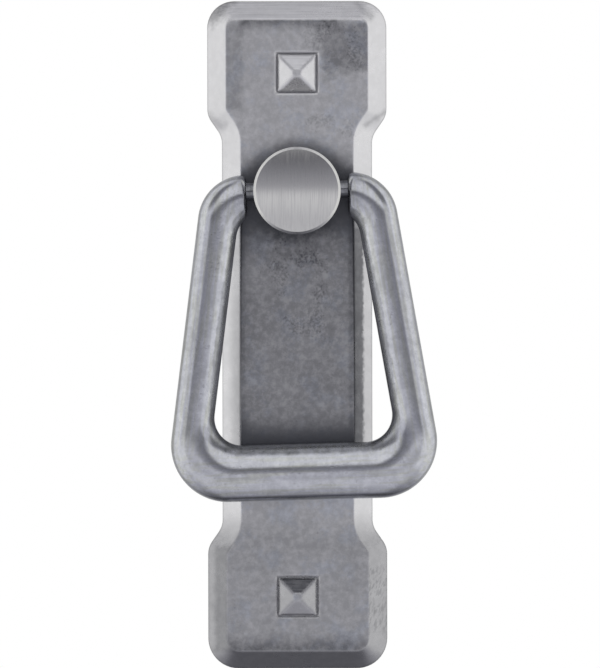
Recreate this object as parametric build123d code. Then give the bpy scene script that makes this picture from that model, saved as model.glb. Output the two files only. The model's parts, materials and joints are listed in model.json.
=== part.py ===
from build123d import *
import math
import os

# A vertical cabinet pull. A bevelled back plate carries a round knob post through its waist, and a
# trapezoid bail swings on two pintles that enter the post's neck. Sizes are in millimetres. The
# origin is where the screw axis meets the mounting plane y = 0, +Z runs up the plate, and the
# front faces -Y. A height is a distance in front of the mounting plane.

# Back plate, seen from the front
plate_top = 27.9
plate_length = 98.4
end_width = 26.4
waist_width = 22.1
upper_end_length = 16.9
lower_end_length = 17.9
shoulder_run = 3.1
shoulder_radius = 3.2
top_corner_radius = 4.0
bottom_corner_radius = 4.5

# Back plate, section
plate_depth = 3.4
edge_height = 0.8
bevel_width = 2.75
edge_softness = 0.3
wall = 1.6
rim_width = 2.2
cavity_draft = 12.0
boss_diameter = 13.0

# Raised pyramids
pyramid_width = 5.5
pyramid_squatness = 0.15
pyramid_tip = 1.2
pyramid_rise = 1.5
pyramid_hip_chamfer = 0.24
upper_pyramid_from_top = 10.6
lower_pyramid_from_bottom = 10.7
groove_width = 0.35
groove_depth = 0.3

# Knob post
head_diameter = 12.8
head_edge = 2.4
head_dome = 0.45
head_front_chamfer = 0.3
head_back_chamfer = 0.4
neck_diameter = 9.0
neck_length = 5.3
neck_chamfer = 0.4
spigot_diameter = 6.6
spigot_flats = 5.6
spigot_clearance = 0.05
swage_diameter = 8.0
swage_depth = 0.7
screw_diameter = 4.0
screw_hole_depth = 7.0
drill_point_angle = 118.0

# Pivot
pintle_diameter = 2.7
pintle_clearance = 0.15
bore_web = 0.6
pintle_end_gap = 0.15
pintle_chamfer = 0.3
bail_to_plate = 0.3

# Bail. The top of its outer outline is above the pivot axis, the top of the inner one below it
bail_mouth = 14.9
bail_end_depth = 4.6
bail_end_chamfer = 0.3
outer_leg = 14.1
leg_angle = 8.5
leg_width = 5.9
bail_drop = 45.5
bar_width = 8.3
bar_depth = 5.2
outer_top = 2.5
inner_top = 2.8
outer_top_radius = 7.0
inner_top_radius = 4.5
outer_bottom_radius = 8.4
inner_bottom_radius = 4.0
hang_tilt = 1.5
bend_steps = 9

# Worked out from the sizes above
pyramid_height = pyramid_width - pyramid_squatness
pivot_height = plate_depth + bail_to_plate + bar_depth / 2
bore_diameter = pintle_diameter + 2 * pintle_clearance
bore_end = screw_diameter / 2 + bore_web
head_back = plate_depth + neck_length
head_rim = head_back + head_edge
head_top = head_rim + head_dome
dome_radius = ((head_diameter / 2) ** 2 + head_dome**2) / (2 * head_dome)


def at_height(height):
    """Sketch plane that faces the front, a given height in front of the mounting plane."""
    return Plane.XZ.offset(height)


def round_on_post(radius, low, high):
    """Cylinder on the screw axis between two heights."""
    return extrude(at_height(low) * Circle(radius), high - low)


def cone_on_post(low_radius, high_radius, low, high):
    """Cone on the screw axis between two heights."""
    cone = Cone(low_radius, high_radius, high - low, align=(Align.CENTER, Align.CENTER, Align.MIN))
    return at_height(low).location * cone


def round_on_pivot(radius, start, end):
    """Cylinder on the pivot axis between two distances from the middle."""
    bar = Cylinder(radius, abs(end - start), rotation=(0, 90, 0))
    return Pos((start + end) / 2, -pivot_height, 0) * bar


def plate_outline():
    """Two flared ends on a narrower waist, with every corner rounded."""
    end = end_width / 2
    waist = waist_width / 2
    bottom = plate_top - plate_length
    upper_shoulder = plate_top - upper_end_length
    lower_shoulder = bottom + lower_end_length
    right = [
        (end, plate_top),
        (end, upper_shoulder),
        (waist, upper_shoulder - shoulder_run),
        (waist, lower_shoulder + shoulder_run),
        (end, lower_shoulder),
        (end, bottom),
    ]
    left = [(-x, z) for x, z in reversed(right)]
    outline = make_face(Polyline(*right, *left, close=True))
    levels = outline.vertices().group_by(Axis.Y)
    shoulders = [corner for level in levels[1:-1] for corner in level]
    outline = fillet(shoulders, shoulder_radius)
    outline = fillet(outline.vertices().group_by(Axis.Y)[-1], top_corner_radius)
    return fillet(outline.vertices().group_by(Axis.Y)[0], bottom_corner_radius)


def edges_at(solid, height):
    """Edges that lie in one plane parallel to the mounting plane."""
    return [edge for edge in solid.edges() if lies_at(edge, height)]


def lies_at(edge, height):
    box = edge.bounding_box()
    return abs(box.min.Y + height) < 0.01 and abs(box.max.Y + height) < 0.01


def plate_blank():
    """Solid plate with its straight edge, bevel and softened corners."""
    blank = extrude(at_height(0) * plate_outline(), plate_depth)
    front = blank.faces().sort_by(Axis.Y)[0]
    blank = chamfer(front.edges(), bevel_width, plate_depth - edge_height, reference=front)
    blank = fillet(edges_at(blank, plate_depth), edge_softness)
    return fillet(edges_at(blank, edge_height), edge_softness)


def plate_cavity():
    """Hollow behind the plate, inside a flat rim."""
    mouth = offset(plate_outline(), -rim_width)
    return extrude(at_height(0) * mouth, plate_depth - wall, taper=cavity_draft)


def pyramid(level):
    """Raised four-sided pyramid with a small flat tip and chamfered hips."""
    slope = math.degrees(math.atan2((pyramid_width - pyramid_tip) / 2, pyramid_rise))
    base = at_height(plate_depth) * Pos(0, level) * Rectangle(pyramid_width, pyramid_height)
    body = extrude(base, pyramid_rise, taper=slope)
    hips = [edge for edge in body.edges() if edge.bounding_box().size.Y > pyramid_rise / 2]
    return chamfer(hips, pyramid_hip_chamfer)


def pyramid_groove(level):
    """Fine groove round the foot of a pyramid."""
    outside = Rectangle(pyramid_width + 2 * groove_width, pyramid_height + 2 * groove_width)
    ring = outside - Rectangle(pyramid_width, pyramid_height)
    return extrude(at_height(plate_depth) * Pos(0, level) * ring, -groove_depth)


def keyed_round(diameter, flats):
    """Round outline with two flats, which stops the post turning in the plate."""
    return Circle(diameter / 2) & Rectangle(diameter, flats)


def back_plate():
    plate = plate_blank() - plate_cavity()
    plate += round_on_post(boss_diameter / 2, 0, plate_depth - wall / 2)
    hole = keyed_round(spigot_diameter + 2 * spigot_clearance, spigot_flats + 2 * spigot_clearance)
    plate -= extrude(at_height(0) * hole, plate_depth)
    plate -= cone_on_post(
        swage_diameter / 2 + spigot_clearance, spigot_diameter / 2 + spigot_clearance, 0, swage_depth
    )
    bottom = plate_top - plate_length
    for level in (plate_top - upper_pyramid_from_top, bottom + lower_pyramid_from_bottom):
        plate -= pyramid_groove(level)
        plate += pyramid(level)
    return plate


def post_head():
    """Low domed head with a chamfered rim, turned with the neck."""
    head = head_diameter / 2
    neck = neck_diameter / 2
    corners = [(head, head_top), (head, head_back), (neck, head_back)]
    sizes = [head_front_chamfer + head_dome, head_back_chamfer, neck_chamfer]
    profile = make_face(
        Polyline((0, head_top), *corners, (neck, plate_depth), (0, plate_depth), close=True)
    )
    for corner, size in zip(corners, sizes):
        profile = chamfer(profile.vertices().sort_by_distance(corner)[0], size)
    section = Plane(origin=(0, 0, 0), x_dir=(1, 0, 0), z_dir=(0, 0, -1))
    dome = Pos(0, dome_radius - head_top, 0) * Sphere(dome_radius)
    return revolve(section * profile, axis=Axis.Y) & dome


def pivot_post():
    post = post_head()
    spigot = keyed_round(spigot_diameter, spigot_flats)
    post += extrude(at_height(0) * spigot, plate_depth)
    post += cone_on_post(swage_diameter / 2, spigot_diameter / 2, 0, swage_depth)
    point_height = screw_diameter / 2 / math.tan(math.radians(drill_point_angle / 2))
    post -= round_on_post(screw_diameter / 2, 0, screw_hole_depth)
    post -= cone_on_post(
        screw_diameter / 2, 0, screw_hole_depth, screw_hole_depth + point_height
    )
    for side in (-1, 1):
        post -= round_on_pivot(bore_diameter / 2, side * bore_end, side * neck_diameter)
    return post


def bend_centre(leg, level, radius, side):
    """Centre of a bend between a leg line, given where it crosses the pivot axis, and a level."""
    z = level + side * radius
    slope = math.radians(leg_angle)
    return leg - z * math.tan(slope) - radius / math.cos(slope), z


def on_bend(centre, radius, angle):
    turn = math.radians(angle)
    return Vector(centre[0] + radius * math.cos(turn), 0, centre[1] + radius * math.sin(turn))


def bend_points(leg, level, radius, side):
    """Points round one bend: from the mouth to the leg at the top, from the leg to the bar below."""
    centre = bend_centre(leg, level, radius, side)
    first, last = leg_angle, -90
    if side < 0:
        first, last = math.degrees(math.acos((bail_mouth / 2 - centre[0]) / radius)), leg_angle
    turn = (last - first) / bend_steps
    return [on_bend(centre, radius, first + turn * step) for step in range(bend_steps + 1)]


def bail_outline(leg, top, top_radius, bottom, bottom_radius):
    """Points of one outline of the bail, from its right end round the bar to its left end."""
    upper = bend_points(leg, top, top_radius, -1)
    lower = bend_points(leg, bottom, bottom_radius, 1)
    left = [Vector(-point.X, 0, point.Z) for point in reversed(upper + lower)]
    return upper + lower + left


def oval(outer, inner):
    """Oval section between a point outside and a point inside, deeper the lower it lies."""
    outward = outer - inner
    lowered = max(-outer.Z / bail_drop, 0)
    half_depth = (bail_end_depth + (bar_depth - bail_end_depth) * lowered) / 2
    quarters = [
        EllipticalCenterArc((0, 0), outward.length / 2, half_depth, start_angle=start, arc_size=90)
        for start in range(0, 360, 90)
    ]
    middle = (outer + inner) / 2 + Vector(0, -pivot_height, 0)
    plane = Plane(middle, x_dir=outward, z_dir=outward.cross(Vector(0, 1, 0)))
    return plane * make_face(quarters)


def bail_loop():
    """Oval bar between two rounded trapezoids, open at the top."""
    inner_leg = outer_leg - leg_width / math.cos(math.radians(leg_angle))
    outside = bail_outline(outer_leg, outer_top, outer_top_radius, -bail_drop, outer_bottom_radius)
    inside = bail_outline(
        inner_leg, -inner_top, inner_top_radius, bar_width - bail_drop, inner_bottom_radius
    )
    return loft([oval(outer, inner) for outer, inner in zip(outside, inside)], ruled=True)


def pintle(side):
    """Pivot pin cast on one end of the bail, with a chamfered tip inside the post's neck."""
    tip = bore_end + pintle_end_gap
    root = bail_mouth / 2 + bail_end_chamfer
    pin = Cylinder(pintle_diameter / 2, root - tip, align=(Align.CENTER, Align.CENTER, Align.MIN))
    pin = chamfer(pin.edges().sort_by(Axis.Z)[0], pintle_chamfer)
    return Plane((side * tip, -pivot_height, 0), z_dir=(side, 0, 0)).location * pin


def bail():
    loop = bail_loop()
    end_faces = [face for face in loop.faces() if abs(abs(face.normal_at().X) - 1) < 0.001]
    loop = chamfer([edge for face in end_faces for edge in face.edges()], bail_end_chamfer)
    for side in (-1, 1):
        loop += pintle(side)
    return Rot(0, -hang_tilt, 0) * loop


os.makedirs("parts", exist_ok=True)
for name, piece in {
    "back_plate": back_plate(),
    "pivot_post": pivot_post(),
    "bail": bail(),
}.items():
    export_step(piece, os.path.join("parts", name + ".step"))
    print(name, "volume", round(piece.volume, 1))
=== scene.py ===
import bmesh
import bpy
import json
import math
from mathutils import Matrix, Vector, noise as cloud_noise


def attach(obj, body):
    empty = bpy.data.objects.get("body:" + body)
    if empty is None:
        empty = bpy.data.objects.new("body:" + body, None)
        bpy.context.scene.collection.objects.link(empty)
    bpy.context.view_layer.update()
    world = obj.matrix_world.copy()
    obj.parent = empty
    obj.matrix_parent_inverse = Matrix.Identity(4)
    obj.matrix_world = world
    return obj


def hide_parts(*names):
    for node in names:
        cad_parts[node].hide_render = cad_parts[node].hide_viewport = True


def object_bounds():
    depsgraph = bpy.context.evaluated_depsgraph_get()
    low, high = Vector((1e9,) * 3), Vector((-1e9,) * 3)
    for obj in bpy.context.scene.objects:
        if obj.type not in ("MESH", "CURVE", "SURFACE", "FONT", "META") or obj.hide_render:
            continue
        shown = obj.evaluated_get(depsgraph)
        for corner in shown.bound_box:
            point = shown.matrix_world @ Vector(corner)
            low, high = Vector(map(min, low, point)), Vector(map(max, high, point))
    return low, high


# Looks of a vertical cabinet pull: cast pewter back plate, satin nickel knob post and a worn pewter
# bail. Sizes are in metres, in the part's own frame: the front faces -Y and +Z runs up the plate.

# Photograph and camera
image_width = 600
image_height = 668
metres_per_pixel = 0.0001475
post_pixel = (297.0, 190.4)
camera_distance = 1.5
camera_tilt = math.radians(0.9)
camera_roll = math.radians(0.1)
camera_sensor = 0.036

# Floor and backdrop
floor_drop = 0.05
floor_radius = 0.3
floor_corners = 96
floor_colour = (0.82, 0.82, 0.82, 1)
floor_roughness = 0.8
backdrop_colour = (1.0, 1.0, 1.0, 1.0)

# Studio light, as brightness against direction: elevation in degrees, then strength
levels_ahead = [
    (-90, 0.20),
    (-83, 0.26),
    (-74, 0.54),
    (-56, 0.58),
    (-42, 0.78),
    (-22, 0.82),
    (-11, 0.63),
    (-3, 0.83),
    (-1, 0.78),
    (0.8, 0.42),
    (4, 0.37),
    (8, 0.26),
    (13, 0.14),
    (18, 1.00),
    (42, 1.00),
    (60, 0.87),
    (90, 0.76),
]
levels_between = [
    (-90, 0.18),
    (-60, 0.45),
    (-40, 0.70),
    (-22, 1.00),
    (-2, 1.00),
    (4, 0.80),
    (20, 0.80),
    (27, 0.24),
    (58, 0.24),
    (70, 0.75),
    (90, 0.72),
]
levels_aside = [
    (-90, 0.18),
    (-70, 0.24),
    (-50, 0.62),
    (-30, 1.12),
    (30, 1.12),
    (60, 1.00),
    (90, 0.72),
]
between_start = 35
side_start = 62
side_end = 112
side_softness = 5
behind_softness = 15
behind_share = 0.55
dim_light_blue = 0.14

# Bail, the same sizes as the solid, with its end edges rounded a little more
bail_mouth = 0.0149
bail_end_depth = 0.0046
bail_end_round = 0.0008
outer_leg = 0.0141
leg_angle = math.radians(8.5)
leg_width = 0.0059
bail_drop = 0.0455
bail_middle_drop = 0.022
bar_width = 0.0083
bar_depth = 0.0052
outer_top = 0.0025
inner_top = 0.0028
outer_top_radius = 0.007
inner_top_radius = 0.0045
outer_bottom_radius = 0.0084
inner_bottom_radius = 0.004
hang_tilt = math.radians(1.5)
pintle_radius = 0.00135
pintle_tip = 0.00275
pintle_chamfer = 0.0003
bend_steps = 28
leg_steps = 22
bar_steps = 12
section_steps = 48
end_round_rings = 3
end_round_steps = 7
cast_wobble = 0.00002
cast_wobble_size = 0.007
bail_sharp_angle = math.radians(38)

# Thread in the post
thread_radius = 0.002
thread_height = 0.00035
thread_pitch = 0.0007
thread_root_share = 0.88
thread_crest_share = 0.12
thread_first_pitch = 0.5
thread_turns = 9
thread_steps = 36
thread_sharp_angle = math.radians(30)

# Finishes
plate_cool = (0.63, 0.648, 0.71, 1)
plate_warm = (0.655, 0.652, 0.675, 1)
plate_dark = (0.055, 0.057, 0.067, 1)
plate_roughness = 0.26
plate_grain = 0.000008
plate_edge_radius = 0.0006
rubbed_edge_reach = 0.0004
shade_reach = 0.006
darkest_plate = 0.97
darkest_shade = 0.95
bail_cool = (0.565, 0.575, 0.63, 1)
bail_warm = (0.60, 0.61, 0.605, 1)
bail_dark = (0.085, 0.088, 0.10, 1)
bail_roughness = 0.14
bail_grain = 0.000004
bail_lean = math.radians(1)
darkest_bail = 0.96
nickel = (0.63, 0.625, 0.62, 1)
nickel_groove = (0.42, 0.42, 0.43, 1)
nickel_roughness = 0.11
nickel_grain = 0.000004

# Shades, as the place where each one starts and the place where it is full: a height on the pull,
# a distance from the post's axis or from the middle, or a depth
post_foot_shade = (0.0086, 0.0066)
knob_shade = (0.014, 0.007)
below_knob = (0.002, -0.005)
behind_bail_top = (0.008, -0.004)
behind_bail_foot = (-0.046, -0.038)
down_to_bar = (-0.030, -0.034)
above_bar = (-0.044, -0.040)
lower_plate = (-0.046, -0.052)
above_low_bevel = (-0.0646, -0.0684)
pyramid_groove = (-0.00338, -0.0032)
beside_pins = (-0.0065, -0.001)
bail_mouth_shade = (0.0105, 0.0072)
pin_shade = (0.0077, 0.0074)
right_half = (-0.002, 0.002)
bottom_bar = (-0.036, -0.041)
knob_rim = (0.006, 0.0062)

# Slopes and openness to the light, as the share where each mask starts and where it is full
face_slope = (0.88, 0.97)
front_slope = (0.15, 0.45)
pyramid_slope = (0.35, 0.45)
near_bail_openness = (0.92, 0.52)
near_bar_openness = (0.98, 0.68)
inner_side_slope = (0.29, 0.43)
outer_side_slope = (-0.50, -0.66)
upper_lip_start = (0.26, 0.42)
upper_lip_end = (0.76, 0.56)

# Marked places, painted shade and a painted reflection on the plate, as left, top, right and bottom in
# the photograph's pixels
waist_pits = (276, 250, 326, 340)
upper_pits = (306, 26, 362, 72)
shoulder_pits = (302, 112, 356, 136)
side_pits = (246, 240, 285, 275)
# Painted shade along the face's edges inside the bail
left_waist_edge = (239.5, 205, 245, 505)
right_waist_edge = (348.5, 205, 354, 505)
under_top_bevel = (242, 17, 338, 26)
upper_right_stain = (322, 24, 374, 72)
upper_left_strip = (222, 24, 243, 110)
upper_pyramid_sides = (266, 57, 328, 88)
lower_pyramid = (276, 574, 320, 620)
top_left_dark_corner = (203, 3, 236, 17)
top_right_mark = (352, 8, 376, 13)
# Painted reflection of the bail's right leg in the right waist bevel, and painted shade over that bevel
# and beside the left leg
right_leg_reflection = (346, 200, 363, 505)
right_waist_rim = (346, 228, 376, 505)
left_waist_shade = (231, 200, 246, 505)
lower_left_bevel = (214, 545, 240, 650)
left_shoulder = (206, 118, 226, 126)
right_shoulder = (362, 117, 388, 121)
lower_right_bevel = (362, 566, 390, 632)


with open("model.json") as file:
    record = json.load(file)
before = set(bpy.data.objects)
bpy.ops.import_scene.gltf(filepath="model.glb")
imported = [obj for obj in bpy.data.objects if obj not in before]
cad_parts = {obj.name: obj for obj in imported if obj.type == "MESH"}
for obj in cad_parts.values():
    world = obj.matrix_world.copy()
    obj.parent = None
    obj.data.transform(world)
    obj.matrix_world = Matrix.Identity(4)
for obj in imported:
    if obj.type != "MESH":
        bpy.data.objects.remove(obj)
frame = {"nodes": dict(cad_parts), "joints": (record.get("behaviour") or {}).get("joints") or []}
cad_low, cad_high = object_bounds()
pivot = Vector(frame["joints"][0]["pos_m"])


def add_camera():
    """Straight-on camera that sees the plate at the photograph's scale and place."""
    camera_data = bpy.data.cameras.new("photo_camera")
    camera_data.sensor_width = camera_sensor * 1000
    camera_data.lens = camera_sensor * 1000 * camera_distance / (image_height * metres_per_pixel)
    camera_data.clip_start = camera_distance / 10
    camera_data.clip_end = camera_distance * 10
    camera = bpy.data.objects.new("photo_camera", camera_data)
    camera.location = (
        (image_width / 2 - post_pixel[0]) * metres_per_pixel,
        -camera_distance,
        (post_pixel[1] - image_height / 2) * metres_per_pixel + camera_distance * math.tan(camera_tilt),
    )
    camera.rotation_euler = (math.pi / 2 - camera_tilt, camera_roll, 0)
    bpy.context.collection.objects.link(camera)
    bpy.context.scene.camera = camera


def add_node(tree, kind, inputs=None, **settings):
    """New node with its settings, and values or links for its inputs."""
    node = tree.nodes.new(kind)
    for setting, value in settings.items():
        setattr(node, setting, value)
    for socket, value in (inputs or {}).items():
        if isinstance(value, bpy.types.NodeSocket):
            tree.links.new(value, node.inputs[socket])
        else:
            node.inputs[socket].default_value = value
    return node


def calculate(tree, operation, first, second=0.0):
    node = add_node(tree, "ShaderNodeMath", {0: first, 1: second}, operation=operation)
    return node.outputs[0]


def both(tree, first, second):
    """Mask of the places where two masks meet."""
    return calculate(tree, "MULTIPLY", first, second)


def separate(tree, vector):
    """X, Y and Z of a vector."""
    return add_node(tree, "ShaderNodeSeparateXYZ", {"Vector": vector}).outputs


def remap(tree, value, low, high, start=0.0, end=1.0):
    """Smooth step of a value between two limits."""
    limits = {"Value": value, "From Min": low, "From Max": high, "To Min": start, "To Max": end}
    node = add_node(tree, "ShaderNodeMapRange", limits, interpolation_type="SMOOTHSTEP")
    return node.outputs["Result"]


def fade(tree, value, span):
    """Smooth step of a value in millimetres, between two places given in metres."""
    start, full = span
    return remap(tree, value, start * 1000, full * 1000)


def blend_values(tree, share, first, second):
    values = {"Value": share, "To Min": first, "To Max": second}
    return add_node(tree, "ShaderNodeMapRange", values).outputs["Result"]


def blend_colours(tree, share, first, second):
    node = add_node(tree, "ShaderNodeMix", data_type="RGBA")
    for socket, value in (("Factor", share), ("A", first), ("B", second)):
        target = next(item for item in node.inputs if item.name == socket and item.enabled)
        if isinstance(value, bpy.types.NodeSocket):
            tree.links.new(value, target)
        else:
            target.default_value = value
    return next(item for item in node.outputs if item.enabled)


def level_ramp(tree, elevation, levels):
    """Brightness against elevation, from a list of levels. Dim light is a little bluer."""
    place = add_node(
        tree, "ShaderNodeMapRange", {"Value": elevation, "From Min": -90.0, "From Max": 90.0}
    ).outputs["Result"]
    ramp = add_node(tree, "ShaderNodeValToRGB", {"Fac": place})
    stops = ramp.color_ramp.elements
    while len(stops) < len(levels):
        stops.new(0.5)
    for stop, (degrees, strength) in zip(stops, levels):
        stop.position = (degrees + 90) / 180
        bluer = 1 + dim_light_blue * (1 - strength)
        stop.color = (strength, strength, strength * bluer, 1)
    return ramp.outputs["Color"]


def light_the_studio():
    """Soft boxes left and right, a broad light above, a dimmer one below and a dark gap ahead
    that reaches between the upper boxes."""
    world = bpy.data.worlds.new("studio")
    bpy.context.scene.world = world
    world.use_nodes = True
    tree = world.node_tree
    tree.nodes.clear()
    direction = add_node(tree, "ShaderNodeTexCoord").outputs["Generated"]
    parts = separate(tree, direction)
    elevation = calculate(tree, "DEGREES", calculate(tree, "ARCSINE", parts["Z"]))
    ahead = calculate(tree, "MULTIPLY", parts["Y"], -1.0)
    azimuth = calculate(tree, "DEGREES", calculate(tree, "ARCTAN2", parts["X"], ahead))
    to_side = calculate(tree, "ABSOLUTE", azimuth)
    studio = level_ramp(tree, elevation, levels_ahead)
    for start, levels in ((between_start, levels_between), (side_start, levels_aside)):
        past = remap(tree, to_side, start - side_softness, start + side_softness)
        studio = blend_colours(tree, past, studio, level_ramp(tree, elevation, levels))
    in_front = remap(
        tree, to_side, side_end - behind_softness, side_end + behind_softness, 1.0, behind_share
    )
    studio = blend_colours(tree, in_front, (0.0, 0.0, 0.0, 1.0), studio)
    seen = add_node(tree, "ShaderNodeLightPath").outputs["Is Camera Ray"]
    shown = blend_colours(tree, seen, studio, backdrop_colour)
    background = add_node(tree, "ShaderNodeBackground", {"Color": shown})
    output = add_node(tree, "ShaderNodeOutputWorld")
    tree.links.new(background.outputs[0], output.inputs["Surface"])
    bpy.context.scene.view_settings.view_transform = "Standard"


def add_floor():
    """Round pale floor under the pull, below the photograph's frame."""
    mesh = bpy.data.meshes.new("floor")
    level = cad_low.z - floor_drop
    rim = []
    for corner in range(floor_corners):
        turn = 2 * math.pi * corner / floor_corners
        rim.append((floor_radius * math.cos(turn), floor_radius * math.sin(turn), level))
    mesh.from_pydata(rim, [], [list(range(floor_corners))])
    floor = bpy.data.objects.new("floor", mesh)
    bpy.context.collection.objects.link(floor)
    material = bpy.data.materials.new("pale_floor")
    material.use_nodes = True
    shader = material.node_tree.nodes["Principled BSDF"]
    shader.inputs["Base Color"].default_value = floor_colour
    shader.inputs["Roughness"].default_value = floor_roughness
    mesh.materials.append(material)
    floor.visible_glossy = False


def bend(leg, level, radius, side):
    """Points round one bend: from the mouth to the leg at the top, from the leg to the bar below."""
    z = level + side * radius
    centre = Vector((leg - z * math.tan(leg_angle) - radius / math.cos(leg_angle), 0, z))
    first, last = leg_angle, -math.pi / 2
    if side < 0:
        first, last = math.acos((bail_mouth / 2 - centre.x) / radius), leg_angle
    points = []
    for step in range(bend_steps + 1):
        turn = first + (last - first) * step / bend_steps
        points.append(centre + radius * Vector((math.cos(turn), 0, math.sin(turn))))
    return points


def between(start, end, steps):
    """Points that divide a straight stretch, without its ends."""
    return [start.lerp(end, step / steps) for step in range(1, steps)]


def bail_outline(leg, top, top_radius, bottom, bottom_radius):
    """Points of one outline of the bail, from its right end round the bar to its left end."""
    upper = bend(leg, top, top_radius, -1)
    lower = bend(leg, bottom, bottom_radius, 1)
    middle = Vector((0, 0, bottom))
    right = upper + between(upper[-1], lower[0], leg_steps) + lower
    right += between(lower[-1], middle, bar_steps)
    left = [Vector((-point.x, 0, point.z)) for point in reversed(right)]
    return right + [middle] + left


def oval(outer, inner, trim=0.0):
    """Ring of points of the oval section, which is deeper the lower it lies."""
    outward = outer - inner
    reach = outward.length / 2 - trim
    outward = outward.normalized()
    lowered = max(-outer.z / bail_drop, 0)
    half_depth = (bail_end_depth + (bar_depth - bail_end_depth) * lowered) / 2 - trim
    middle = (outer + inner) / 2
    deep = Vector((0, half_depth, 0))
    ring = []
    for step in range(section_steps):
        turn = 2 * math.pi * step / section_steps
        ring.append(middle + outward * reach * math.cos(turn) + deep * math.sin(turn))
    return ring


def pin_ring(x, radius):
    """Ring of points round the pivot axis."""
    ring = []
    for step in range(section_steps):
        turn = 2 * math.pi * step / section_steps
        ring.append(Vector((x, radius * math.sin(turn), radius * math.cos(turn))))
    return ring


def pin_rings(side):
    """Rings of one pintle, from its chamfered tip to its root."""
    return [
        pin_ring(side * pintle_tip, pintle_radius - pintle_chamfer),
        pin_ring(side * (pintle_tip + pintle_chamfer), pintle_radius),
        pin_ring(side * bail_mouth / 2, pintle_radius),
    ]


def rounded_end(outer_end, outer_start, inner_end, inner_start):
    """Rings that round one end of the loop, from its smaller end face to its full section."""
    rings = []
    for step in range(end_round_steps):
        turn = math.pi / 2 * step / end_round_steps
        share = 1 - math.cos(turn)
        trim = bail_end_round * (1 - math.sin(turn))
        rings.append(oval(outer_end.lerp(outer_start, share), inner_end.lerp(inner_start, share), trim))
    return rings


def bail_rings():
    """Rings of the whole bail, from the tip of its right pintle round the bar to the left one."""
    inner_leg = outer_leg - leg_width / math.cos(leg_angle)
    outside = bail_outline(outer_leg, outer_top, outer_top_radius, -bail_drop, outer_bottom_radius)
    inside = bail_outline(
        inner_leg, -inner_top, inner_top_radius, bar_width - bail_drop, inner_bottom_radius
    )
    first = end_round_rings
    loop = [oval(outer, inner) for outer, inner in zip(outside[first:-first], inside[first:-first])]
    for ring in loop:
        for point in ring:
            point.y += cast_wobble * cloud_noise.noise(point / cast_wobble_size)
    right = rounded_end(outside[0], outside[first], inside[0], inside[first])
    left = rounded_end(outside[-1], outside[-1 - first], inside[-1], inside[-1 - first])
    return pin_rings(1) + right + loop + list(reversed(pin_rings(-1) + left))


def skin(rings):
    """Faces between rings of equal length, with a flat cap on each end."""
    count = len(rings[0])
    points = [point for ring in rings for point in ring]
    faces = []
    for row in range(len(rings) - 1):
        for column in range(count):
            beside = (column + 1) % count
            low, high = row * count, (row + 1) * count
            faces.append((low + column, low + beside, high + beside, high + column))
    faces.append(tuple(reversed(range(count))))
    faces.append(tuple(range(len(points) - count, len(points))))
    return points, faces


def add_piece(name, points, faces, body, sharp_angle):
    """New smooth piece, sharp only where its faces meet at more than a given angle."""
    mesh = bpy.data.meshes.new(name)
    mesh.from_pydata(points, [], faces)
    bm = bmesh.new()
    bm.from_mesh(mesh)
    bmesh.ops.recalc_face_normals(bm, faces=bm.faces)
    bm.to_mesh(mesh)
    bm.free()
    mesh.shade_smooth()
    mesh.set_sharp_from_angle(angle=sharp_angle)
    piece = bpy.data.objects.new(name, mesh)
    bpy.context.collection.objects.link(piece)
    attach(piece, body)
    return piece


def add_bail():
    """The bail as one smooth skin, hung on its pivot a little askew."""
    points, faces = skin(bail_rings())
    hang = Matrix.Translation(pivot) @ Matrix.Rotation(-hang_tilt, 4, "Y")
    hung = [hang @ point for point in points]
    piece = add_piece("cast_bail", hung, faces, "swinging_bail", bail_sharp_angle)
    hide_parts("bail")
    return piece


def add_thread():
    """Screw thread in the post's hole, as one ridge wound inside it."""
    root = thread_root_share / 2
    crest = thread_crest_share / 2
    profile = [(-root, 0.0), (-crest, 1.0), (crest, 1.0), (root, 0.0)]
    rings = []
    for step in range(thread_turns * thread_steps + 1):
        turn = 2 * math.pi * step / thread_steps
        along = thread_pitch * (thread_first_pitch + step / thread_steps)
        ring = []
        for shift, height in profile:
            radius = thread_radius - thread_height * height
            y = -along + thread_pitch * shift
            ring.append(Vector((radius * math.cos(turn), y, radius * math.sin(turn))))
        rings.append(ring)
    points, faces = skin(rings)
    return add_piece(
        "screw_thread", points, faces, "fixed_part", thread_sharp_angle
    )


def start_group(name, inputs, outputs):
    """Empty node group with named values in and out, and the sockets of both sides."""
    group = bpy.data.node_groups.new(name, "ShaderNodeTree")
    for label, value in inputs:
        socket = group.interface.new_socket(label, in_out="INPUT", socket_type="NodeSocketFloat")
        socket.default_value = value
    for label in outputs:
        group.interface.new_socket(label, in_out="OUTPUT", socket_type="NodeSocketFloat")
    start = group.nodes.new("NodeGroupInput")
    end = group.nodes.new("NodeGroupOutput")
    return group, start.outputs, end.inputs


def millimetres(tree):
    """Place on the piece, in millimetres."""
    place = add_node(tree, "ShaderNodeTexCoord").outputs["Object"]
    scaled = add_node(
        tree, "ShaderNodeVectorMath", {0: place, "Scale": 1000.0}, operation="SCALE"
    )
    return scaled.outputs["Vector"]


def noise(tree, vector, size, detail=3.0, roughness=0.55):
    """Noise whose blotches are about a given size, in millimetres."""
    per_size = calculate(tree, "DIVIDE", 1.0, size)
    node = add_node(
        tree,
        "ShaderNodeTexNoise",
        {"Vector": vector, "Scale": per_size, "Detail": detail, "Roughness": roughness},
    )
    return node.outputs["Fac"]


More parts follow.
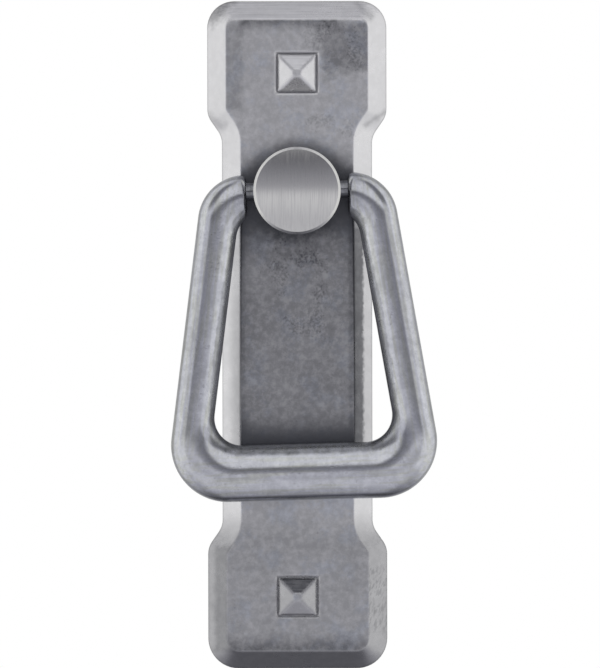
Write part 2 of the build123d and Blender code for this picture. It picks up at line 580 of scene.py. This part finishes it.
def casting_group():
    """Fine cast skin: a low grain with soft pits that gather in patches."""
    group, given, result = start_group(
        "cast_skin",
        [("Grain Size", 0.3), ("Pit Size", 0.5), ("Pit Share", 0.3), ("Pit Depth", 1.0)],
        ["Height", "Pits"],
    )
    patch_scale = 12.0
    patch_edge = (0.34, 0.58)
    fewest_pits, pits_in_patch, pit_edge = 0.72, 0.30, 0.14
    place = millimetres(group)
    grain = noise(group, place, given["Grain Size"], 4.0, 0.6)
    spots = noise(group, place, given["Pit Size"], 1.5, 0.5)
    patches = noise(group, place, calculate(group, "MULTIPLY", given["Pit Size"], patch_scale), 2.0)
    reach = both(group, given["Pit Share"], remap(group, patches, *patch_edge))
    low = calculate(group, "SUBTRACT", fewest_pits, calculate(group, "MULTIPLY", reach, pits_in_patch))
    pits = remap(group, spots, low, calculate(group, "ADD", low, pit_edge))
    sunk = calculate(group, "MULTIPLY", pits, given["Pit Depth"])
    group.links.new(pits, result["Pits"])
    group.links.new(calculate(group, "SUBTRACT", grain, sunk), result["Height"])
    return group


def tarnish_group():
    """Cloudy dark tarnish left in the plating."""
    group, given, result = start_group(
        "tarnish_clouds", [("Cloud Size", 6.0), ("Low", 0.4), ("High", 0.7)], ["Mask"]
    )
    fine_scale = 7.0
    fine_share = 0.35
    share_sum = 1.17
    place = millimetres(group)
    broad = noise(group, place, given["Cloud Size"], 5.0, 0.62)
    fine = noise(group, place, calculate(group, "DIVIDE", given["Cloud Size"], fine_scale), 4.0, 0.6)
    mixed = calculate(group, "ADD", broad, calculate(group, "MULTIPLY", fine, fine_share))
    mixed = calculate(group, "DIVIDE", mixed, share_sum)
    group.links.new(remap(group, mixed, given["Low"], given["High"]), result["Mask"])
    return group


def scratch_group():
    """Thin long marks along one direction of the piece."""
    group, given, result = start_group(
        "drawn_marks",
        [("Turn", 0.0), ("Width", 0.12), ("Length", 6.0), ("Low", 0.6), ("High", 0.7)],
        ["Mask", "Height"],
    )
    place = millimetres(group)
    turned = add_node(
        group,
        "ShaderNodeVectorRotate",
        {"Vector": place, "Axis": (0.0, 1.0, 0.0), "Angle": given["Turn"]},
        rotation_type="AXIS_ANGLE",
    ).outputs[0]
    parts = separate(group, turned)
    across = calculate(group, "DIVIDE", parts["X"], given["Width"])
    deep = calculate(group, "DIVIDE", parts["Y"], given["Width"])
    along = calculate(group, "DIVIDE", parts["Z"], given["Length"])
    drawn = add_node(group, "ShaderNodeCombineXYZ", {"X": across, "Y": deep, "Z": along}).outputs[0]
    lines = add_node(
        group, "ShaderNodeTexNoise", {"Vector": drawn, "Scale": 1.0, "Detail": 2.0}
    ).outputs["Fac"]
    group.links.new(remap(group, lines, given["Low"], given["High"]), result["Mask"])
    group.links.new(lines, result["Height"])
    return group


def patch_group():
    """One patch with soft, ragged edges at a given place on the front, in millimetres."""
    group, given, result = start_group(
        "placed_patch",
        [
            ("Centre X", 0.0),
            ("Centre Z", 0.0),
            ("Half Width", 1.0),
            ("Half Height", 1.0),
            ("Softness", 1.0),
            ("Raggedness", 1.0),
            ("Rag Size", 1.4),
            ("Turn", 0.0),
        ],
        ["Mask"],
    )
    place = millimetres(group)
    centre = add_node(
        group, "ShaderNodeCombineXYZ", {"X": given["Centre X"], "Z": given["Centre Z"]}
    ).outputs[0]
    turned = add_node(
        group,
        "ShaderNodeVectorRotate",
        {"Vector": place, "Center": centre, "Axis": (0.0, 1.0, 0.0), "Angle": given["Turn"]},
        rotation_type="AXIS_ANGLE",
    ).outputs[0]
    offset = add_node(
        group, "ShaderNodeVectorMath", {0: turned, 1: centre}, operation="SUBTRACT"
    ).outputs["Vector"]
    parts = separate(group, offset)
    beyond = []
    for axis, half in (("X", "Half Width"), ("Z", "Half Height")):
        away = calculate(group, "ABSOLUTE", parts[axis])
        beyond.append(calculate(group, "SUBTRACT", away, given[half]))
    edge = calculate(group, "MAXIMUM", beyond[0], beyond[1])
    rough = calculate(group, "SUBTRACT", noise(group, place, given["Rag Size"], 3.0, 0.6), 0.5)
    edge = calculate(group, "ADD", edge, calculate(group, "MULTIPLY", rough, given["Raggedness"]))
    inside = calculate(group, "MULTIPLY", given["Softness"], -0.5)
    outside = calculate(group, "MULTIPLY", given["Softness"], 0.5)
    group.links.new(remap(group, edge, inside, outside, 1.0, 0.0), result["Mask"])
    return group


def wear_group():
    """Rubbed edges, found where the rounded normal leaves the true one."""
    group, given, result = start_group(
        "rubbed_edges", [("Reach", 0.0004), ("Low", 0.02), ("High", 0.2)], ["Mask"]
    )
    rounded = add_node(group, "ShaderNodeBevel", {"Radius": given["Reach"]}, samples=6)
    true = add_node(group, "ShaderNodeNewGeometry").outputs["True Normal"]
    match = add_node(
        group, "ShaderNodeVectorMath", {0: rounded.outputs[0], 1: true}, operation="DOT_PRODUCT"
    ).outputs["Value"]
    away = calculate(group, "SUBTRACT", 1.0, match)
    group.links.new(remap(group, away, given["Low"], given["High"]), result["Mask"])
    return group


def place_group(tree, group, values):
    """One use of a node group, with values or links for its inputs."""
    node = tree.nodes.new("ShaderNodeGroup")
    node.node_tree = group
    for socket, value in values.items():
        if isinstance(value, bpy.types.NodeSocket):
            tree.links.new(value, node.inputs[socket])
        else:
            node.inputs[socket].default_value = value
    return node.outputs


def add_up(tree, *parts):
    """Sum of masks, each with its own share."""
    total = 0.0
    for mask, share in parts:
        total = calculate(tree, "ADD", calculate(tree, "MULTIPLY", mask, share), total)
    return total


def patch_at(tree, groups, box, softness, raggedness, rag_size=1.4, turn=0.0):
    """Patch between the photograph's pixel columns and rows, turned by an angle in degrees."""
    left, top, right, bottom = box
    scale = metres_per_pixel * 1000
    values = {
        "Centre X": ((left + right) / 2 - post_pixel[0]) * scale,
        "Centre Z": (post_pixel[1] - (top + bottom) / 2) * scale,
        "Half Width": (right - left) / 2 * scale,
        "Half Height": (bottom - top) / 2 * scale,
        "Softness": softness,
        "Raggedness": raggedness,
        "Rag Size": rag_size,
        "Turn": math.radians(turn),
    }
    return place_group(tree, groups["patch"], values)["Mask"]


def tarnish(tree, groups, size, low, high):
    """Clouds of tarnish of about a given size, in millimetres."""
    values = {"Cloud Size": size, "Low": low, "High": high}
    return place_group(tree, groups["tarnish"], values)["Mask"]


def drawn_marks(tree, groups, turn, width, length, low, high):
    """Mask and height of long marks, turned from upright, with their size in millimetres."""
    values = {"Turn": turn, "Width": width, "Length": length, "Low": low, "High": high}
    return place_group(tree, groups["scratch"], values)


def from_post_axis(tree, place):
    """Distance from the post's axis, seen from the front."""
    flat = add_node(tree, "ShaderNodeCombineXYZ", {"X": place["X"], "Z": place["Z"]}).outputs[0]
    return add_node(tree, "ShaderNodeVectorMath", {0: flat}, operation="LENGTH").outputs["Value"]


def start_metal(name):
    """New bare metal, with its node tree and its shader."""
    material = bpy.data.materials.new(name)
    material.use_nodes = True
    tree = material.node_tree
    shader = tree.nodes["Principled BSDF"]
    shader.inputs["Metallic"].default_value = 1.0
    return material, tree, shader


def finish_metal(tree, shader, colour, roughness, height, depth, edge_radius=0.0):
    """Links a finish to its shader, with edges rounded by a given radius."""
    tree.links.new(colour, shader.inputs["Base Color"])
    tree.links.new(roughness, shader.inputs["Roughness"])
    inputs = {"Height": height, "Distance": depth, "Strength": 1.0}
    if edge_radius > 0:
        rounded = add_node(tree, "ShaderNodeBevel", {"Radius": edge_radius}, samples=8)
        inputs["Normal"] = rounded.outputs["Normal"]
    bump = add_node(tree, "ShaderNodeBump", inputs)
    tree.links.new(bump.outputs[0], shader.inputs["Normal"])


def piece_normal(tree, edge_radius):
    """Surface direction in the piece's own frame, as X, Y and Z, turning softly at its edges."""
    rounded = add_node(tree, "ShaderNodeBevel", {"Radius": edge_radius}, samples=8).outputs[0]
    own = add_node(
        tree,
        "ShaderNodeVectorTransform",
        {"Vector": rounded},
        vector_type="NORMAL",
        convert_from="WORLD",
        convert_to="OBJECT",
    ).outputs[0]
    return separate(tree, own)


def pitted_share(tree, groups):
    """How thickly pits lie at each place of the plate."""
    return add_up(
        tree,
        (patch_at(tree, groups, waist_pits, 3.0, 3.0), 0.70),
        (patch_at(tree, groups, upper_pits, 3.0, 3.0), 0.80),
        (patch_at(tree, groups, shoulder_pits, 2.0, 2.0), 0.75),
        (patch_at(tree, groups, side_pits, 3.0, 2.0), 0.50),
        (1.0, 0.25),
    )


def shade_near_bail(tree, place):
    """Shade where the bail or the knob stands close in front of the plate."""
    open_to_light = add_node(
        tree, "ShaderNodeAmbientOcclusion", {"Distance": shade_reach}, samples=12
    ).outputs["AO"]
    near_bar = both(
        tree, remap(tree, open_to_light, *near_bar_openness), fade(tree, place["Z"], down_to_bar)
    )
    near_bail = remap(tree, open_to_light, *near_bail_openness)
    shaded = calculate(tree, "MAXIMUM", near_bail, near_bar)
    return both(tree, shaded, fade(tree, place["Z"], above_bar))


def face_stains_and_shade(tree, groups, place, behind_bail):
    """Tarnish stains and painted shade at certain places of the plate's face and round its pyramids."""
    from_post = from_post_axis(tree, place)
    under_knob = both(
        tree, fade(tree, from_post, knob_shade), fade(tree, place["Z"], below_knob)
    )
    waist_edges = add_up(
        tree,
        (patch_at(tree, groups, left_waist_edge, 0.6, 0.1), 0.09),
        (patch_at(tree, groups, right_waist_edge, 0.6, 0.1), 0.12),
    )
    in_groove = fade(tree, place["Y"], pyramid_groove)
    upper_sides = patch_at(tree, groups, upper_pyramid_sides, 0.2, 0.0)
    return add_up(
        tree,
        # partly painted shade, partly tarnish: darker round the post's foot and under the knob
        (fade(tree, from_post, post_foot_shade), 0.16),
        (under_knob, 0.14),
        # painted shade: the face inside the bail is darker, and darker still along its edges
        (behind_bail, 0.35),
        (both(tree, behind_bail, waist_edges), 1.0),
        (patch_at(tree, groups, under_top_bevel, 2.6, 0.6), 0.50),
        (patch_at(tree, groups, upper_right_stain, 2.4, 4.0, turn=12.0), 0.34),
        (patch_at(tree, groups, upper_left_strip, 1.0, 1.2), 0.16),
        # painted shade: darker towards the bottom of the plate and above its lower bevel
        (fade(tree, place["Z"], lower_plate), 0.15),
        (fade(tree, place["Z"], above_low_bevel), 0.40),
        (in_groove, 0.36),
        (both(tree, in_groove, upper_sides), -0.26),
    )


def bevel_marks_and_shade(tree, groups, place, slope, behind_bail):
    """Dark marks, painted shade and a painted reflection on the plate's bevels; painted shade and light
    on the two level sides of the lower pyramid.
    """
    facing_up = remap(tree, slope, *pyramid_slope)
    facing_down = remap(tree, calculate(tree, "MULTIPLY", slope, -1.0), *pyramid_slope)
    on_pyramid = patch_at(tree, groups, lower_pyramid, 0.4, 0.0)
    # painted reflection of the bail's right leg in the right waist bevel, and painted shade on the
    # waist's bevels beside the legs
    waist_reflection_and_shade = add_up(
        tree,
        (patch_at(tree, groups, right_leg_reflection, 0.5, 0.8, 0.7), 0.62),
        (patch_at(tree, groups, right_waist_rim, 0.6, 1.0, 0.5), 0.13),
        (patch_at(tree, groups, left_waist_shade, 1.4, 0.4), 0.20),
    )
    diagonal = drawn_marks(tree, groups, math.radians(-35), 0.4, 3.4, 0.45, 0.65)["Mask"]
    level = drawn_marks(tree, groups, math.pi / 2, 0.22, 9.0, 0.42, 0.66)["Mask"]
    scraped = patch_at(tree, groups, lower_right_bevel, 2.0, 2.0)
    return add_up(
        tree,
        # painted shade: the bevels are darker towards the bottom
        (fade(tree, place["Z"], lower_plate), 0.42),
        # darker top-left bevel corner
        (patch_at(tree, groups, top_left_dark_corner, 1.8, 2.5, turn=45.0), 0.46),
        (patch_at(tree, groups, top_right_mark, 1.0, 1.0, turn=-45.0), 0.24),
        (both(tree, behind_bail, waist_reflection_and_shade), 1.0),
        (patch_at(tree, groups, lower_left_bevel, 1.0, 0.8), 0.18),
        (patch_at(tree, groups, left_shoulder, 1.2, 1.2, turn=-35.0), 0.22),
        (patch_at(tree, groups, right_shoulder, 0.9, 0.8, turn=35.0), 0.30),
        (both(tree, scraped, diagonal), 0.15),
        (both(tree, facing_up, level), 0.14),
        # painted shade on the lower pyramid's upper facet, painted light on its lower facet
        (both(tree, on_pyramid, facing_up), 0.40),
        (both(tree, on_pyramid, facing_down), -0.25),
    )


def plate_metal(groups):
    """Antique pewter plating on the cast back plate: bright bevels, a tarnished and pitted face, and
    painted shade.
    """
    material, tree, shader = start_metal("cast_pewter")
    place = separate(tree, millimetres(tree))
    normal = piece_normal(tree, plate_edge_radius)
    forward = calculate(tree, "MULTIPLY", normal["Y"], -1.0)
    face = remap(tree, forward, *face_slope)
    front = remap(tree, forward, *front_slope)
    behind_bail = both(
        tree, fade(tree, place["Z"], behind_bail_top), fade(tree, place["Z"], behind_bail_foot)
    )
    casting = place_group(
        tree,
        groups["casting"],
        {"Grain Size": 0.25, "Pit Size": 0.38, "Pit Share": pitted_share(tree, groups)},
    )
    clouds = tarnish(tree, groups, 6.0, 0.38, 0.72)
    specks = tarnish(tree, groups, 1.1, 0.40, 0.70)
    stains_and_shade = add_up(
        tree,
        (clouds, 0.10),
        (specks, 0.18),
        (casting["Pits"], 0.13),
        (face_stains_and_shade(tree, groups, place, behind_bail), 1.0),
        (1.0, 0.07),
    )
    on_face = blend_values(tree, shade_near_bail(tree, place), stains_and_shade, darkest_shade)
    # marks, painted shade and a painted reflection on the bevels
    marks = bevel_marks_and_shade(tree, groups, place, normal["Z"], behind_bail)
    on_bevel = add_up(
        tree,
        (clouds, 0.05),
        (specks, 0.06),
        (casting["Pits"], 0.06),
        (both(tree, marks, front), 1.0),
    )
    rubbed = place_group(tree, groups["wear"], {"Reach": rubbed_edge_reach})["Mask"]
    kept = calculate(tree, "SUBTRACT", 1.0, calculate(tree, "MULTIPLY", rubbed, 0.5))
    dark = both(tree, blend_values(tree, face, on_bevel, on_face), kept)
    dark = calculate(tree, "MINIMUM", dark, darkest_plate)
    hue = tarnish(tree, groups, 4.0, 0.44, 0.60)
    warmth = calculate(tree, "MAXIMUM", hue, calculate(tree, "SUBTRACT", 1.0, face))
    silver = blend_colours(tree, warmth, plate_cool, plate_warm)
    colour = blend_colours(tree, dark, silver, plate_dark)
    roughness = add_up(tree, (face, 0.07), (clouds, 0.05), (1.0, plate_roughness))
    finish_metal(tree, shader, colour, roughness, casting["Height"], plate_grain, plate_edge_radius)
    return material


def turn_to_middle(tree, place):
    """How far the bail's surface turns towards the middle of the loop, from -1 to 1."""
    normal = add_node(tree, "ShaderNodeTexCoord").outputs["Normal"]
    middle = 1000 * (pivot - Vector((0, 0, bail_middle_drop)))
    to_middle = add_node(
        tree, "ShaderNodeVectorMath", {0: tuple(middle), 1: place}, operation="SUBTRACT"
    ).outputs["Vector"]
    inward = add_node(
        tree, "ShaderNodeVectorMath", {0: to_middle}, operation="NORMALIZE"
    ).outputs["Vector"]
    return add_node(
        tree, "ShaderNodeVectorMath", {0: normal, 1: inward}, operation="DOT_PRODUCT"
    ).outputs["Value"]


def drawn_along_bail(tree, groups, parts, on_bar):
    """Rubbed streaks that run along each leg and along the bar."""
    streaks = []
    for turn in (hang_tilt - leg_angle, hang_tilt + leg_angle, hang_tilt + math.pi / 2):
        streaks.append(drawn_marks(tree, groups, turn, 0.5, 7.0, 0.42, 0.66)["Mask"])
    on_right = fade(tree, parts["X"], right_half)
    on_left = calculate(tree, "SUBTRACT", 1.0, on_right)
    on_legs = calculate(tree, "SUBTRACT", 1.0, on_bar)
    along_legs = add_up(tree, (streaks[0], on_left), (streaks[1], on_right))
    return add_up(tree, (along_legs, on_legs), (streaks[2], on_bar))


def bail_metal(groups):
    """The same plating, rubbed smooth where fingers pull and dark on the inner sides, with painted
    shade on the top of the bar and at the ends by the pins.
    """
    material, tree, shader = start_metal("bail_pewter")
    place = millimetres(tree)
    parts = separate(tree, place)
    turned_in = turn_to_middle(tree, place)
    upper_lip = both(
        tree, remap(tree, turned_in, *upper_lip_start), remap(tree, turned_in, *upper_lip_end)
    )
    ragged = calculate(tree, "SUBTRACT", noise(tree, place, 1.6, 4.0, 0.65), 0.5)
    ragged_turn = calculate(tree, "ADD", turned_in, calculate(tree, "MULTIPLY", ragged, 0.30))
    patina = remap(tree, ragged_turn, *inner_side_slope)
    outer_side = remap(tree, ragged_turn, *outer_side_slope)
    near_pins = fade(tree, parts["Z"], beside_pins)
    across = calculate(tree, "ABSOLUTE", parts["X"])
    on_bar = fade(tree, parts["Z"], bottom_bar)
    casting = place_group(
        tree, groups["casting"], {"Grain Size": 0.5, "Pit Size": 0.4, "Pit Share": 0.4}
    )
    clouds = tarnish(tree, groups, 4.0, 0.40, 0.75)
    specks = tarnish(tree, groups, 1.0, 0.42, 0.68)
    drawn = drawn_along_bail(tree, groups, parts, on_bar)
    dark = add_up(
        tree,
        (patina, 0.34),
        # painted shade along the top of the bar
        (both(tree, on_bar, upper_lip), 0.48),
        (outer_side, 0.10),
        # painted shade at the bail's ends and pins, beside the knob
        (both(tree, near_pins, fade(tree, across, bail_mouth_shade)), 0.30),
        (both(tree, near_pins, fade(tree, across, pin_shade)), 0.35),
        (clouds, 0.12),
        (drawn, 0.12),
        (specks, 0.11),
        (casting["Pits"], 0.12),
    )
    silver = blend_colours(tree, drawn, bail_cool, bail_warm)
    colour = blend_colours(tree, calculate(tree, "MINIMUM", dark, darkest_bail), silver, bail_dark)
    roughness = add_up(tree, (clouds, 0.05), (patina, 0.12), (1.0, bail_roughness))
    lean = calculate(tree, "MULTIPLY", parts["Z"], -math.tan(bail_lean) * 0.001 / bail_grain)
    height = calculate(tree, "ADD", casting["Height"], lean)
    finish_metal(tree, shader, colour, roughness, height, bail_grain)
    return material


def post_metal(groups):
    """Satin nickel, brushed up and down, with a turned rim."""
    material, tree, shader = start_metal("satin_nickel")
    brushing = drawn_marks(tree, groups, 0.0, 0.24, 9.0, 0.40, 0.70)
    place = separate(tree, millimetres(tree))
    on_rim = fade(tree, from_post_axis(tree, place), knob_rim)
    grooves = add_up(tree, (brushing["Mask"], 0.22), (on_rim, 0.45))
    colour = blend_colours(tree, grooves, nickel, nickel_groove)
    roughness = add_up(tree, (brushing["Mask"], 0.05), (1.0, nickel_roughness))
    finish_metal(tree, shader, colour, roughness, brushing["Height"], nickel_grain)
    return material


def dress(piece, material):
    """Puts a finish on a piece or a carried-over node of the part."""
    if not piece.material_slots:
        piece.data.materials.append(material)
    for slot in piece.material_slots:
        slot.material = material


add_camera()
light_the_studio()
add_floor()
groups = {
    "casting": casting_group(),
    "tarnish": tarnish_group(),
    "scratch": scratch_group(),
    "patch": patch_group(),
    "wear": wear_group(),
}
post_finish = post_metal(groups)
dress(frame["nodes"]["back_plate"], plate_metal(groups))
dress(frame["nodes"]["pivot_post"], post_finish)
dress(add_bail(), bail_metal(groups))
dress(add_thread(), post_finish)
